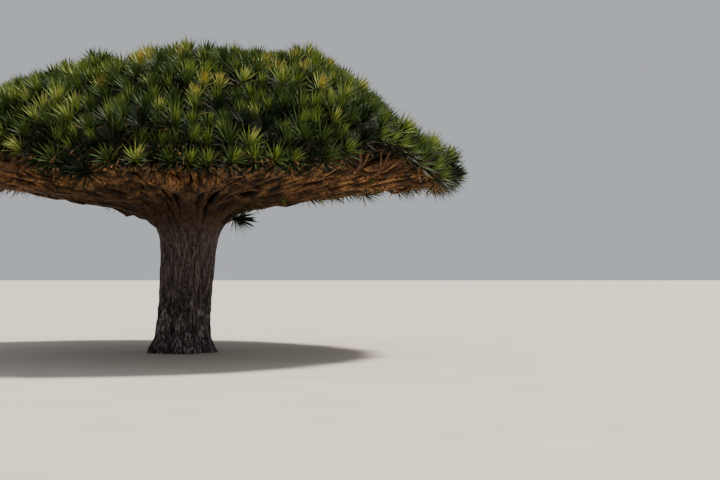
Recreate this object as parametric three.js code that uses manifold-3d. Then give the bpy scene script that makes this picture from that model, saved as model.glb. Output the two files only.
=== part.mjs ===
// A dragon blood tree: a stout trunk that opens into boughs, which fork again and again and carry a
// closed dome of stiff rosettes. Millimetres, +Z up, origin at the centre of the cut at ground level.
import * as THREE from "three";
import { mergeVertices } from "three/addons/utils/BufferGeometryUtils.js";
import Module from "manifold-3d";

const wasm = await Module();
wasm.setup();

// Trunk: a waist between the root flare and the head that the boughs leave from
const WAIST_RADIUS = 498;
const ROOT_FLARE = 140;
const ROOT_FALL = 240;
const ROOT_LOBES = { count: 5, depth: 0.14, turn: 0.6 };
const HEAD_FLARE = 330;
const HEAD_POWER = 8;
const HEAD_LOBE_DEPTH = 0.07;
const WAIST_LOBES = { count: 3, depth: 0.02, pitch: 600 };
const HEAD_HEIGHT = 2680;
const HEAD_TOP = 2960;
const HEAD_TOP_SHARE = 0.45;
const TRUNK_SIDES = 24;
const TRUNK_RINGS = 9;
const HEAD_RINGS = 2;

// The trunk leans this far to the right by the height of its head, most of it low down, and the
// crown stands over it
const LEAN = 160;

// Dome of the rosette hearts, a cubic fall from the top that turns down and under at the rim
const HEART_RADIUS = 4850;
const HEART_TOP = 5360;
const HEART_RIM = 3360;
const RIM_BEND = 340;
const CROWN_FALL = HEART_TOP - HEART_RIM;
const RIM_SLOPE = Math.atan((3 * CROWN_FALL) / HEART_RADIUS);

// Swells and hollows of the dome: where each lies, its height, and its reach as a share of the radius
const SWELLS = [
  { angle: -10, share: 0.52, height: 160, reach: 0.2 },
  { angle: 0, share: 0.5, height: 140, reach: 0.09 },
  { angle: 0, share: 0.19, height: 80, reach: 0.09 },
  { angle: 0, share: 0.8, height: -150, reach: 0.16 },
  { angle: 180, share: 0.26, height: -110, reach: 0.1 },
  { angle: 180, share: 0.62, height: -180, reach: 0.35 },
  { angle: 100, share: 0.6, height: 120, reach: 0.25 },
  { angle: -90, share: 0.95, height: 70, reach: 0.4 },
];

// Boughs that leave the trunk's head: how many, the angle of the first, the radius at the foot, and
// the route of each by its foot, bend and end as [radius from the crown's axis, height]
const LOWER_BOUGHS = {
  count: 7,
  first: -84,
  radius: 250,
  route: [[240, 2400], [820, 2980], [1560, 3030]],
};
const MIDDLE_BOUGHS = {
  count: 5,
  first: -81,
  radius: 200,
  route: [[170, 2560], [560, 3300], [1420, 3860]],
};
const UPPER_BOUGHS = {
  count: 2,
  first: -25,
  radius: 190,
  route: [[130, 2600], [240, 3300], [420, 3980]],
};
const BOUGH_SIDES = 7;
const BOUGH_SEGMENTS = 4;

// Limbs in pairs on the lower boughs, each turned this many degrees to one side
const LIMBS = { spread: 12, footShoots: 50, route: [[1480, 3020], [2200, 3080], [2860, 3170]] };
const LIMB_SIDES = 6;
const LIMB_SEGMENTS = 2;

// Rings of cells on the dome, from share inner to share outer of its radius, one mass of leaves in
// each, two on every bough
const RIM_CELLS = { boughs: LOWER_BOUGHS, inner: 0.76, outer: 1.06 };
const SHOULDER_CELLS = { boughs: MIDDLE_BOUGHS, inner: 0.45, outer: 0.76 };
const TOP_CELLS = { boughs: UPPER_BOUGHS, inner: 0.05, outer: 0.45 };
const CELL_MARGIN = 22;

// A limb thickens with the number of shoots that it feeds
const SHOOT_RADIUS = 35;
const LIMB_POWER = 0.4;
const SHOOTS_PER_MASS = 32;

// Seeds of the masses in a ring, which decide where each one's twigs fork and how its leaves turn
const MASS_SEEDS = { first: 3, step: 7 };

// Forks of a mass as shares of the way from its foot to the dome, how far they hang below the
// straight way, and how wide a fork opens
const FORK_REACH = [0.22, 0.42, 0.6, 0.76];
const FORK_SAG = 200;
const FORK_JITTER = 0.24;
const FORK_WIDTH = 1.3;
const FORK_DEPTH = 0.8;

// Cells whose longer side is under this hold one rosette
const ROSETTE_ROOM = 880;

// Rosettes, each leaf standing for a spray of sword leaves that lean out and stand up by turns.
// Sizes from the heart: leaf, the valley between two leaves, the stalk's radius and its neck's depth
const LEAVES = 7;
const LEAF_LENGTH_SPREAD = 0.2;
const LEAF_LEANS = [60, 32];
const VALLEY_RISE = 0.2;
const CROWN_RISE = 0.4;
const DRAWN_IN = [1, 0.88, 0.76, 0.64, 0.52, 0.4];
const ROSETTE_MARGIN = 4;
const CROWN_ROSETTE = { leaf: 500, valley: 300, stalk: 55, neck: 90 };

// How far a rosette turns up from the square to the dome, less at the rim
const UPRIGHT = { inside: 0.5, rim: 0.25 };

// Small tuft that hangs beside the trunk's head
const SPROUT = { angle: -8, foot: [560, 2400], heart: [1030, 2580] };
const SPROUT_ROSETTE = { leaf: 290, valley: 100, stalk: 40, neck: 40 };
const SPROUT_SEED = 1;

const CLEAR = 0.3;
const WELD = 1e-3;
const DRAW_WAVE = { pitch: 12.9898, shift: 4.1414, height: 43758.5453 };
const TRUNK_BARK = new THREE.MeshStandardMaterial({ color: 0x6a5a50, roughness: 0.95, metalness: 0 });
const BOUGH_BARK = new THREE.MeshStandardMaterial({ color: 0x80603c, roughness: 0.9, metalness: 0 });
const LEAF = new THREE.MeshStandardMaterial({ color: 0x465f22, roughness: 0.55, metalness: 0 });

const { degToRad: rad, radToDeg, lerp } = THREE.MathUtils;

// A repeatable draw from 0 to 1 for each seed, the last digits of a wave.
function draw(seed) {
  const wave = DRAW_WAVE.height * Math.sin(seed * DRAW_WAVE.pitch + DRAW_WAVE.shift);
  return wave - Math.floor(wave);
}

// A point at an angle in degrees round the crown's upright axis.
function polar(angle, radius, z) {
  return new THREE.Vector3(LEAN + radius * Math.cos(rad(angle)), radius * Math.sin(rad(angle)), z);
}

function solidOf(geometry) {
  geometry.deleteAttribute("normal");
  geometry.deleteAttribute("uv");
  const merged = mergeVertices(geometry, WELD);
  return new wasm.Manifold(
    new wasm.Mesh({
      numProp: 3,
      vertProperties: merged.attributes.position.array,
      triVerts: new Uint32Array(merged.index.array),
    }),
  );
}

// The solid inside faces given as points, three to a face.
function solidOfFaces(faces) {
  const flat = faces.flatMap((point) => point.toArray());
  const place = new THREE.Float32BufferAttribute(flat, 3);
  return solidOf(new THREE.BufferGeometry().setAttribute("position", place));
}

// The largest body of a cut solid, so that a cut leaves no loose scrap.
function largest(solid) {
  return solid.decompose().reduce((a, b) => (a.volume() > b.volume() ? a : b));
}

function geometryOf(solid) {
  const mesh = solid.getMesh();
  return new THREE.BufferGeometry()
    .setAttribute("position", new THREE.BufferAttribute(mesh.vertProperties, 3))
    .setIndex(new THREE.BufferAttribute(mesh.triVerts, 1));
}

// How far the swells lift the dome at a place.
function swell(angle, share) {
  const lifts = SWELLS.map((lump) => {
    const across = share * share + lump.share * lump.share;
    const away = across - 2 * share * lump.share * Math.cos(rad(angle - lump.angle));
    return lump.height * Math.exp(-away / (lump.reach * lump.reach));
  });
  return lifts.reduce((a, b) => a + b);
}

// The dome's slope below the level at a share of its radius.
function domeSlope(share) {
  if (share > 1) return RIM_SLOPE + ((share - 1) * HEART_RADIUS) / RIM_BEND;
  return Math.atan(Math.tan(RIM_SLOPE) * share * share);
}

function domeRadius(share) {
  if (share <= 1) return HEART_RADIUS * share;
  return HEART_RADIUS + RIM_BEND * (Math.sin(domeSlope(share)) - Math.sin(RIM_SLOPE));
}

function domeHeight(share) {
  if (share <= 1) return HEART_RIM + CROWN_FALL * (1 - share ** 3);
  return HEART_RIM - RIM_BEND * (Math.cos(RIM_SLOPE) - Math.cos(domeSlope(share)));
}

// A point of the dome, or a point some depth under it.
function domePoint(angle, share, depth = 0) {
  const slope = domeSlope(share);
  const radius = domeRadius(share) - depth * Math.sin(slope);
  return polar(angle, radius, domeHeight(share) + swell(angle, share) - depth * Math.cos(slope));
}

function domeNormal(angle, share) {
  const slope = domeSlope(share);
  const out = polar(angle, 1, 0).sub(polar(angle, 0, 0));
  return out.multiplyScalar(Math.sin(slope)).setZ(Math.cos(slope));
}

// How far a point stands beyond the wall square to the dome at a share of its radius.
function beyondWall(radius, angle, z, share) {
  const slope = domeSlope(share);
  const lift = domeHeight(share) + swell(angle, share);
  return (radius - domeRadius(share)) * Math.cos(slope) - (z - lift) * Math.sin(slope);
}

// How far a point stands inside the nearest wall of a cell. The top and the rim have no wall.
function roomInCell(point, cell) {
  const radius = Math.hypot(point.x - LEAN, point.y);
  const angle = Math.atan2(point.y, point.x - LEAN);
  const degrees = radToDeg(angle);
  const walls = [radius * Math.sin(angle - rad(cell.from)), radius * Math.sin(rad(cell.to) - angle)];
  if (cell.inner > TOP_CELLS.inner) walls.push(beyondWall(radius, degrees, point.z, cell.inner));
  if (cell.outer < RIM_CELLS.outer) walls.push(-beyondWall(radius, degrees, point.z, cell.outer));
  return Math.min(...walls);
}

// Width of a cell round the dome and its length down the dome.
function sidesOf(cell) {
  const across = rad(cell.to - cell.from) * domeRadius((cell.inner + cell.outer) / 2);
  return [across, domePoint(cell.from, cell.inner).distanceTo(domePoint(cell.from, cell.outer))];
}

// Halves a cell across its longer side, at a seeded place near the middle.
function halves(cell) {
  const [across, down] = sidesOf(cell);
  const cut = 0.5 + FORK_JITTER * (draw(cell.seed) - 0.5);
  const low = { ...cell, seed: 2 * cell.seed };
  const high = { ...cell, seed: 2 * cell.seed + 1 };
  if (across > down) {
    low.to = lerp(cell.from, cell.to, cut);
    high.from = low.to;
  } else {
    low.outer = lerp(cell.inner, cell.outer, cut);
    high.inner = low.outer;
  }
  return [low, high];
}

function middleOf(cell) {
  return domePoint((cell.from + cell.to) / 2, (cell.inner + cell.outer) / 2);
}

// Axis of a rosette, between the square to the dome and the upright.
function rosetteAxis(cell) {
  const share = (cell.inner + cell.outer) / 2;
  const normal = domeNormal((cell.from + cell.to) / 2, share);
  return normal.setZ(normal.z + (share < 1 ? UPRIGHT.inside : UPRIGHT.rim)).normalize();
}

// Place of a fork some share of the way from the foot to the cell, which hangs most near the end.
function forkOf(foot, cell, reach) {
  const fork = foot.clone().lerp(middleOf(cell), reach);
  return fork.setZ(fork.z - 4 * FORK_SAG * reach ** 2 * (1 - reach ** 2));
}

// Direction in which the two halves of a cell lie apart.
function spreadOf(cell) {
  const [low, high] = halves(cell);
  return middleOf(high).sub(middleOf(low));
}

// A round limb along a curve, from a cylinder's rings set square to the curve. Spare widens it.
function limb(curve, radii, sides, segments, spare) {
  const shape = new THREE.CylinderGeometry(1, 1, 1, sides, segments);
  const place = shape.attributes.position;
  const frames = curve.computeFrenetFrames(segments);
  for (let i = 0; i < place.count; i++) {
    const ring = Math.round((place.getY(i) + 0.5) * segments);
    const share = ring / segments;
    const radius = lerp(radii.foot, radii.end, share) + spare;
    const longer = spare * (Math.floor(share) - Math.floor(1 - share));
    const side = new THREE.Vector3().crossVectors(frames.normals[ring], frames.tangents[ring]);
    const point = curve
      .getPointAt(share)
      .addScaledVector(frames.tangents[ring], longer)
      .addScaledVector(frames.normals[ring], place.getX(i) * radius)
      .addScaledVector(side, place.getZ(i) * radius);
    place.setXYZ(i, point.x, point.y, point.z);
  }
  return solidOf(shape);
}

function limbRadius(shoots) {
  return SHOOT_RADIUS * shoots ** LIMB_POWER;
}

// Trunk, round at the waist, lobed where the roots spread and where the boughs leave the head.
function trunkRadius(z, angle) {
  const root = Math.exp(-z / ROOT_FALL);
  const head = (z / HEAD_HEIGHT) ** HEAD_POWER;
  const boughTurn = LOWER_BOUGHS.count * (angle - rad(LOWER_BOUGHS.first));
  const rootLobe = root * ROOT_LOBES.depth * Math.cos(ROOT_LOBES.count * angle + ROOT_LOBES.turn);
  const headLobe = head * HEAD_LOBE_DEPTH * Math.cos(boughTurn);
  const waistLobe = WAIST_LOBES.depth * Math.cos(WAIST_LOBES.count * angle + z / WAIST_LOBES.pitch);
  const round = WAIST_RADIUS + ROOT_FLARE * root + HEAD_FLARE * head;
  return round * (1 + rootLobe + headLobe + waistLobe);
}

function trunk(spare) {
  const rings = TRUNK_RINGS + HEAD_RINGS;
  const shape = new THREE.CylinderGeometry(1, 1, 1, TRUNK_SIDES, rings);
  const place = shape.attributes.position;
  for (let i = 0; i < place.count; i++) {
    const ring = Math.round((place.getY(i) + 0.5) * rings);
    const z = HEAD_HEIGHT * Math.min(ring / TRUNK_RINGS, 1);
    const onTop = Math.max(ring - TRUNK_RINGS, 0) / HEAD_RINGS;
    const angle = Math.atan2(-place.getZ(i), place.getX(i));
    const inward = Math.hypot(place.getX(i), place.getZ(i)) * lerp(1, HEAD_TOP_SHARE, onTop);
    const radius = (trunkRadius(z, angle) + spare) * inward;
    const rise = (HEAD_TOP - HEAD_HEIGHT) * Math.sin((onTop * Math.PI) / 2) + Math.sign(onTop) * spare;
    const lean = LEAN * Math.sin((z / HEAD_HEIGHT) * (Math.PI / 2));
    place.setXYZ(i, lean + radius * Math.cos(angle), radius * Math.sin(angle), z + rise);
  }
  return solidOf(shape);
}

const parts = new Map();
const widened = new Map();

function cutClear(solid) {
  return largest([...widened.values()].reduce((left, other) => left.subtract(other), solid));
}

// Keeps a solid as a node, cut clear of the limbs kept before it, and its widened twin for cutting.
function keepLimb(name, make) {
  parts.set(name, cutClear(make(0)));
  widened.set(name, make(CLEAR));
}

function routeOf([foot, bend, end], angle, endAngle) {
  return new THREE.QuadraticBezierCurve3(
    polar(angle, ...foot),
    polar((angle + endAngle) / 2, ...bend),
    polar(endAngle, ...end),
  );
}

function boughAngle(boughs, i) {
  return boughs.first + (360 * i) / boughs.count;
}

// Boughs in a ring round the head. Returns the route of each.
function boughRing(label, boughs) {
  return Array.from({ length: boughs.count }, (_, i) => {
    const angle = boughAngle(boughs, i);
    const route = routeOf(boughs.route, angle, angle);
    const radii = { foot: boughs.radius, end: limbRadius(2 * SHOOTS_PER_MASS) };
    keepLimb(`${label}_bough_${i + 1}`, (spare) => limb(route, radii, BOUGH_SIDES, BOUGH_SEGMENTS, spare));
    return route;
  });
}

// Two limbs on each lower bough. Returns the route of each.
function limbPairs() {
  return Array.from({ length: 2 * LOWER_BOUGHS.count }, (_, i) => {
    const angle = boughAngle(LOWER_BOUGHS, Math.floor(i / 2));
    const side = i % 2 ? 1 : -1;
    const route = routeOf(LIMBS.route, angle, angle + side * LIMBS.spread);
    const radii = { foot: limbRadius(LIMBS.footShoots), end: limbRadius(SHOOTS_PER_MASS) };
    keepLimb(`lower_limb_${i + 1}`, (spare) => limb(route, radii, LIMB_SIDES, LIMB_SEGMENTS, spare));
    return route;
  });
}

// Four points square to a direction, in order round it, the first two and the last two lying apart
// along the spread.
function ringAt(centre, along, spread, radius) {
  const side = spread.clone().projectOnPlane(along).normalize();
  const over = new THREE.Vector3().crossVectors(along, side);
  const signs = [[-1, -1], [1, -1], [1, 1], [-1, 1]];
  return signs.map(([sideways, upward]) =>
    centre
      .clone()
      .addScaledVector(side, sideways * FORK_WIDTH * radius)
      .addScaledVector(over, upward * FORK_DEPTH * radius),
  );
}

function centreOf(ring) {
  return ring.reduce((sum, point) => sum.add(point), new THREE.Vector3()).divideScalar(ring.length);
}

// The ring begun at the point that lies best behind the first point of the next ring.
function turned(ring, next) {
  const turns = ring.map((_, turn) => ring.map((_, i) => ring[(i + turn) % ring.length]));
  const gap = (list) => list.reduce((sum, point, i) => sum + point.distanceToSquared(next[i]), 0);
  return turns.reduce((a, b) => (gap(a) <= gap(b) ? a : b));
}

// Splits a ring in two between its middles, moved apart by the gap on each side.
function splitRing(ring, gap = 0) {
  const side = ring[1].clone().sub(ring[0]).normalize();
  const middle = (a, b, shift) => a.clone().lerp(b, 0.5).addScaledVector(side, shift);
  const low = [ring[0], middle(ring[0], ring[1], -gap), middle(ring[2], ring[3], -gap), ring[3]];
  const high = [middle(ring[0], ring[1], gap), ring[1], ring[2], middle(ring[2], ring[3], gap)];
  return [low, high];
}

// Adds a tube's wall between two rings, with a middle point on the far ring's split sides.
function addWall(from, to, middles, faces) {
  from.forEach((point, i) => {
    const j = (i + 1) % from.length;
    if (middles[i]) {
      faces.push(point, from[j], middles[i], from[j], to[j], middles[i], point, middles[i], to[i]);
    } else {
      faces.push(point, from[j], to[j], point, to[j], to[i]);
    }
  });
}

// Grows twigs from a ring: a tube to the cell's fork and a branch for each half of the cell, and in
// the smallest cells a rosette.
function growTwigs(ring, foot, cell, whole, level, faces) {
  if (level === FORK_REACH.length || Math.max(...sidesOf(cell)) < ROSETTE_ROOM) {
    const axis = rosetteAxis(cell);
    const fits = (tip) => roomInCell(tip, whole) > CELL_MARGIN && roomInCell(tip, cell) > ROSETTE_MARGIN;
    growRosette(ring, middleOf(cell), axis, CROWN_ROSETTE, cell.seed, fits, faces);
    return;
  }
  const fork = forkOf(foot, cell, FORK_REACH[level]);
  const along = fork.clone().sub(centreOf(ring)).normalize();
  const next = ringAt(fork, along, spreadOf(cell), limbRadius(SHOOTS_PER_MASS / 2 ** (level + 1)));
  const [lowRing, highRing] = splitRing(next);
  addWall(turned(ring, next), next, [lowRing[1], null, lowRing[2], null], faces);
  const [lowCell, highCell] = halves(cell);
  growTwigs(lowRing, foot, lowCell, whole, level + 1, faces);
  growTwigs(highRing, foot, highCell, whole, level + 1, faces);
}

// Grows a stalk from a ring to a rosette: a star round its axis with a leaf at every other point.
// A point is drawn in where it would leave the space that fits() allows.
function growRosette(ring, heart, axis, sizes, seed, fits, faces) {
  const side = new THREE.Vector3(0, 1, 0).cross(axis).normalize();
  const over = new THREE.Vector3().crossVectors(axis, side);
  const turn = 360 * draw(seed);
  const at = (angle, out, up) =>
    heart
      .clone()
      .addScaledVector(side, out * Math.cos(rad(turn + angle)))
      .addScaledVector(over, out * Math.sin(rad(turn + angle)))
      .addScaledVector(axis, up);
  const fitted = (angle, out, up) => {
    const tips = DRAWN_IN.map((cut) => at(angle, cut * out, cut * up));
    return tips.find(fits) ?? tips.at(-1);
  };
  const star = [];
  for (let i = 0; i < LEAVES; i++) {
    const lean = rad(LEAF_LEANS[i % LEAF_LEANS.length]);
    const length = sizes.leaf * (1 + LEAF_LENGTH_SPREAD * (draw(seed + i) - 0.5));
    star.push(fitted((360 * i) / LEAVES, length * Math.sin(lean), length * Math.cos(lean)));
    star.push(fitted((360 * (i + 0.5)) / LEAVES, sizes.valley, sizes.valley * VALLEY_RISE));
  }
  const stalk = ring.map((_, i) => at((360 * (i + 0.5)) / ring.length, sizes.stalk, -sizes.neck));
  addWall(turned(ring, stalk), stalk, [], faces);
  faces.push(...starFaces(at(0, 0, sizes.valley * CROWN_RISE), star, stalk));
}

// Faces of a rosette, from its crown point over its star down to its stalk.
function starFaces(crown, star, stalk) {
  const behind = (i) => stalk[Math.floor((i * stalk.length) / star.length) % stalk.length];
  const faces = [];
  star.forEach((point, i) => {
    const next = star[(i + 1) % star.length];
    faces.push(crown, point, next, point, behind(i), next);
    if (behind(i) !== behind(i + 1)) faces.push(next, behind(i), behind(i + 1));
  });
  return faces;
}

// One mass of foliage, a closed surface from the ring at its foot to its rosettes.
function mass(name, cell, foot, ring) {
  const faces = [ring[0], ring[2], ring[1], ring[0], ring[3], ring[2]];
  growTwigs(ring, foot, cell, cell, 0, faces);
  parts.set(name, solidOfFaces(faces));
}

// The cell of a ring's mass.
function cellOf(cells, i) {
  const width = 180 / cells.boughs.count;
  const from = cells.boughs.first + width * (i - 1);
  const seed = MASS_SEEDS.first + MASS_SEEDS.step * i;
  return { from, to: from + width, inner: cells.inner, outer: cells.outer, seed };
}

// Ring of points just past the end of a limb, square to it.
function ringPast(route, spread, shoots) {
  const along = route.getTangent(1);
  const centre = route.getPoint(1).addScaledVector(along, CLEAR);
  return ringAt(centre, along, spread, limbRadius(shoots));
}

function massesOnLimbs(label, cells, routes) {
  routes.forEach((route, i) => {
    const cell = cellOf(cells, i);
    const ring = ringPast(route, spreadOf(cell), SHOOTS_PER_MASS / 2);
    mass(`${label}_leaves_${i + 1}`, cell, route.getPoint(1), ring);
  });
}

// Two masses side by side on the end of each bough.
function massPairs(label, cells, routes) {
  routes.forEach((route, i) => {
    const spread = middleOf(cellOf(cells, 2 * i + 1)).sub(middleOf(cellOf(cells, 2 * i)));
    const ring = ringPast(route, spread, SHOOTS_PER_MASS);
    splitRing(ring, CLEAR).forEach((half, side) => {
      const number = 2 * i + side;
      mass(`${label}_leaves_${number + 1}`, cellOf(cells, number), route.getPoint(1), half);
    });
  });
}

function sprout() {
  const foot = polar(SPROUT.angle, ...SPROUT.foot);
  const heart = polar(SPROUT.angle, ...SPROUT.heart);
  const axis = heart.clone().sub(foot).normalize();
  const ring = ringAt(foot, axis, new THREE.Vector3(0, 0, 1), SPROUT_ROSETTE.stalk);
  const faces = [ring[0], ring[2], ring[1], ring[0], ring[3], ring[2]];
  growRosette(ring, heart, axis, SPROUT_ROSETTE, SPROUT_SEED, () => true, faces);
  return cutClear(solidOfFaces(faces));
}

keepLimb("trunk", trunk);
const lowerRoutes = boughRing("lower", LOWER_BOUGHS);
const middleRoutes = boughRing("middle", MIDDLE_BOUGHS);
const upperRoutes = boughRing("upper", UPPER_BOUGHS);
const limbRoutes = limbPairs();
massesOnLimbs("rim", RIM_CELLS, limbRoutes);
massPairs("shoulder", SHOULDER_CELLS, middleRoutes);
massPairs("top", TOP_CELLS, upperRoutes);
parts.set("sprout_leaves", sprout());

function materialOf(name) {
  if (name === "trunk") return TRUNK_BARK;
  return name.includes("leaves") ? LEAF : BOUGH_BARK;
}

const tree = new THREE.Group();
for (const [name, solid] of parts) {
  const mesh = new THREE.Mesh(geometryOf(solid), materialOf(name));
  mesh.name = name;
  tree.add(mesh);
}

export default tree;
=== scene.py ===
"""Looks of a dragon blood tree: bark with relief, forking twigs, and sword leaves in rosettes.

The twigs grow by the source's rule, carried on to finer twigs. Metres, +Z up, origin at ground level.
"""

from math import atan, ceil, cos, exp, pi, radians, sin, tan

import bmesh
import bpy
import numpy as np
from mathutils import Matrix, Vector, kdtree, noise

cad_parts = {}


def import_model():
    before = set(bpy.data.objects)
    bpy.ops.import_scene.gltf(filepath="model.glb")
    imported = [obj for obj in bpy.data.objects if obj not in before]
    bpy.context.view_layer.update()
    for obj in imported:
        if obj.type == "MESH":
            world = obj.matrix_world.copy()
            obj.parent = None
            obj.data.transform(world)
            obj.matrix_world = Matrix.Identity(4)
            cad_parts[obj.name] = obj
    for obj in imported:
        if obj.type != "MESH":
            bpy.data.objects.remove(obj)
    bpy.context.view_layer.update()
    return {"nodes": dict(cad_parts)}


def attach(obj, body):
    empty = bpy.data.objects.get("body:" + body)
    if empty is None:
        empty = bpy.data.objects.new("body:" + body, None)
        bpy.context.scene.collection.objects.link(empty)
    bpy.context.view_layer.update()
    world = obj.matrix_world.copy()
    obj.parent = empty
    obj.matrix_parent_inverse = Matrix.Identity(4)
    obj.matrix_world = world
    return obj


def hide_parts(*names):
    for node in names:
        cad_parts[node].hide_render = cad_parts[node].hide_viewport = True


# The source's trunk
WAIST_RADIUS = 0.498
ROOT_FLARE = 0.14
ROOT_FALL = 0.24
ROOT_LOBES = {"count": 5, "depth": 0.14, "turn": 0.6}
HEAD_FLARE = 0.33
HEAD_POWER = 8
HEAD_LOBE_DEPTH = 0.07
WAIST_LOBES = {"count": 3, "depth": 0.02, "pitch": 0.6}
HEAD_HEIGHT = 2.68
HEAD_TOP = 2.96
HEAD_TOP_SHARE = 0.45
LEAN = 0.16

# The source's dome of rosette hearts
HEART_RADIUS = 4.85
HEART_TOP = 5.36
HEART_RIM = 3.36
RIM_BEND = 0.34
CROWN_FALL = HEART_TOP - HEART_RIM
RIM_SLOPE = atan(3 * CROWN_FALL / HEART_RADIUS)
SWELLS = (
    {"angle": -10, "share": 0.52, "height": 0.16, "reach": 0.2},
    {"angle": 0, "share": 0.5, "height": 0.14, "reach": 0.09},
    {"angle": 0, "share": 0.19, "height": 0.08, "reach": 0.09},
    {"angle": 0, "share": 0.8, "height": -0.15, "reach": 0.16},
    {"angle": 180, "share": 0.26, "height": -0.11, "reach": 0.1},
    {"angle": 180, "share": 0.62, "height": -0.18, "reach": 0.35},
    {"angle": 100, "share": 0.6, "height": 0.12, "reach": 0.25},
    {"angle": -90, "share": 0.95, "height": 0.07, "reach": 0.4},
)

# The source's boughs, limbs and cells
LOWER_BOUGHS = {
    "count": 7,
    "first": -84,
    "radius": 0.25,
    "route": ((0.24, 2.4), (0.82, 2.98), (1.56, 3.03)),
}
MIDDLE_BOUGHS = {
    "count": 5,
    "first": -81,
    "radius": 0.2,
    "route": ((0.17, 2.56), (0.56, 3.3), (1.42, 3.86)),
}
UPPER_BOUGHS = {
    "count": 2,
    "first": -25,
    "radius": 0.19,
    "route": ((0.13, 2.6), (0.24, 3.3), (0.42, 3.98)),
}
LIMBS = {"spread": 12, "foot_shoots": 50, "route": ((1.48, 3.02), (2.2, 3.08), (2.86, 3.17))}
RIM_CELLS = {"boughs": LOWER_BOUGHS, "inner": 0.76, "outer": 1.06, "sag": 0.04}
SHOULDER_CELLS = {"boughs": MIDDLE_BOUGHS, "inner": 0.45, "outer": 0.76, "sag": 0.2}
TOP_CELLS = {"boughs": UPPER_BOUGHS, "inner": 0.05, "outer": 0.45, "sag": 0.2}
SHOOT_RADIUS = 0.035
LIMB_POWER = 0.4
SHOOTS_PER_MASS = 32
MASS_SEEDS = {"first": 3, "step": 7}
DRAW_WAVE = {"pitch": 12.9898, "shift": 4.1414, "height": 43758.5453}
FORK_JITTER = 0.24
MASS_FOOT = {"sunk": 0.12, "swell": 1.15}
SPROUT = {"angle": -8, "foot": (0.52, 2.36), "heart": (0.92, 2.55), "radius": 0.039}
CREST = {"seed": 6, "radius": 0.05}

# What is added to a seed for each thing that is drawn from it
SALTS = {
    "lift": 0.5,
    "tilt_x": 0.1,
    "tilt_y": 0.3,
    "thickness": 0.9,
    "tuft": 0.7,
    "out": 0.2,
    "up": 0.6,
    "lean": 5,
    "length": 9,
    "vigour": 11,
}

# The source's forks, then the finer ones
FORK_REACH = (0.22, 0.42, 0.6, 0.76, 0.86, 0.92, 0.95)
UPRIGHT = {"inside": 0.5, "rim": 0.25}
SOURCE_FORKS = 4
ROSETTE_ROOM = 0.46
KNUCKLE = 0.2
KNOBS = {"height": 0.9, "pitch": 9}
STALK_RADIUS = 0.028

# How rosettes stand off the dome: lumps all over it, a wave along the rim, a furrow and single nods
LUMPS = {"height": 0.22, "pitch": 1.25, "jitter": 0.12, "lift": 0.02, "rim": 0.3}
RIM_WAVE = {"height": 0.1, "pitch": 1.1}
FURROW = {"x": -0.88, "depth": 0.24, "width": 0.3}
NODS = (
    {"angle": -90, "share": 1.03, "height": -0.14, "reach": 0.4},
    {"angle": -43, "share": 1.0, "height": 0.42, "reach": 0.25},
    {"angle": -123, "share": 1.0, "height": 0.54, "reach": 0.17},
    {"angle": -102, "share": 1.04, "height": 0.15, "reach": 0.1},
    {"angle": 90, "share": 1.03, "height": 0.2, "reach": 0.5},
    {"angle": 40, "share": 1.03, "height": 0.15, "reach": 0.3},
    {"angle": 150, "share": 1.03, "height": 0.12, "reach": 0.3},
    {"angle": -2, "share": 1.02, "height": 0.21, "reach": 0.2},
    {"angle": -12, "share": 0.83, "height": -0.32, "reach": 0.16},
    {"angle": -21, "share": 0.56, "height": 0.2, "reach": 0.13},
    {"angle": 0, "share": 0.57, "height": 0.2, "reach": 0.12},
    {"angle": -56, "share": 0.37, "height": 0.2, "reach": 0.1},
    {"angle": -31, "share": 0.47, "height": -0.07, "reach": 0.09},
    {"angle": -78, "share": 0.34, "height": -0.06, "reach": 0.1},
    {"angle": -117, "share": 0.36, "height": -0.07, "reach": 0.07},
    {"angle": -136, "share": 0.42, "height": 0.22, "reach": 0.1},
    {"angle": -165, "share": 0.36, "height": 0.2, "reach": 0.09},
    {"angle": -163, "share": 0.64, "height": -0.12, "reach": 0.14},
)
TILT = 0.4

# Sides and rings of each kind of twig, and how its closed end runs out
GRIDS = {"bough": (8, 6), "branch": (5, 5), "twig": (5, 4), "spray": (4, 3)}
TWIG_TIP = {"reach": 0.6, "width": 0.55}

# Two layers of branches that fork by halves from the head out to the rim: the crown's underside,
# whose first branches leave the trunk as ribs, and a thinner layer close under the leaves. A route
# has the radius and height of each station, which wanders out and up from there
UNDERSIDE = {
    "name": "underside_branches",
    "count": 34,
    "seed": 31,
    "forks": 4,
    "stout": 2,
    "fine": "twig",
    "wander": (0.26, 0.13),
    "hollows": {"height": 0.34, "pitch": 2.3, "inner": 2.7, "outer": 4.7},
    "vary": 0.5,
    "lumps": (
        {"angle": 0, "share": 0.23, "height": 0.07, "reach": 0.14},
        {"angle": 180, "share": 0.23, "height": -0.05, "reach": 0.14},
        {"angle": -89, "share": 0.5, "height": 0.26, "reach": 0.24},
        {"angle": -43, "share": 1.0, "height": 0.22, "reach": 0.25},
        {"angle": -123, "share": 1.0, "height": 0.32, "reach": 0.17},
    ),
    "route": (
        (0.4, 1.95),
        (0.61, 2.47),
        (1.15, 2.79),
        (1.85, 2.91),
        (2.65, 3.05),
        (3.5, 3.19),
        (4.3, 3.32),
        (4.95, 3.42),
    ),
    "radii": (0.06, 0.072, 0.066, 0.056, 0.046, 0.041, 0.037, 0.018),
}
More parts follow.
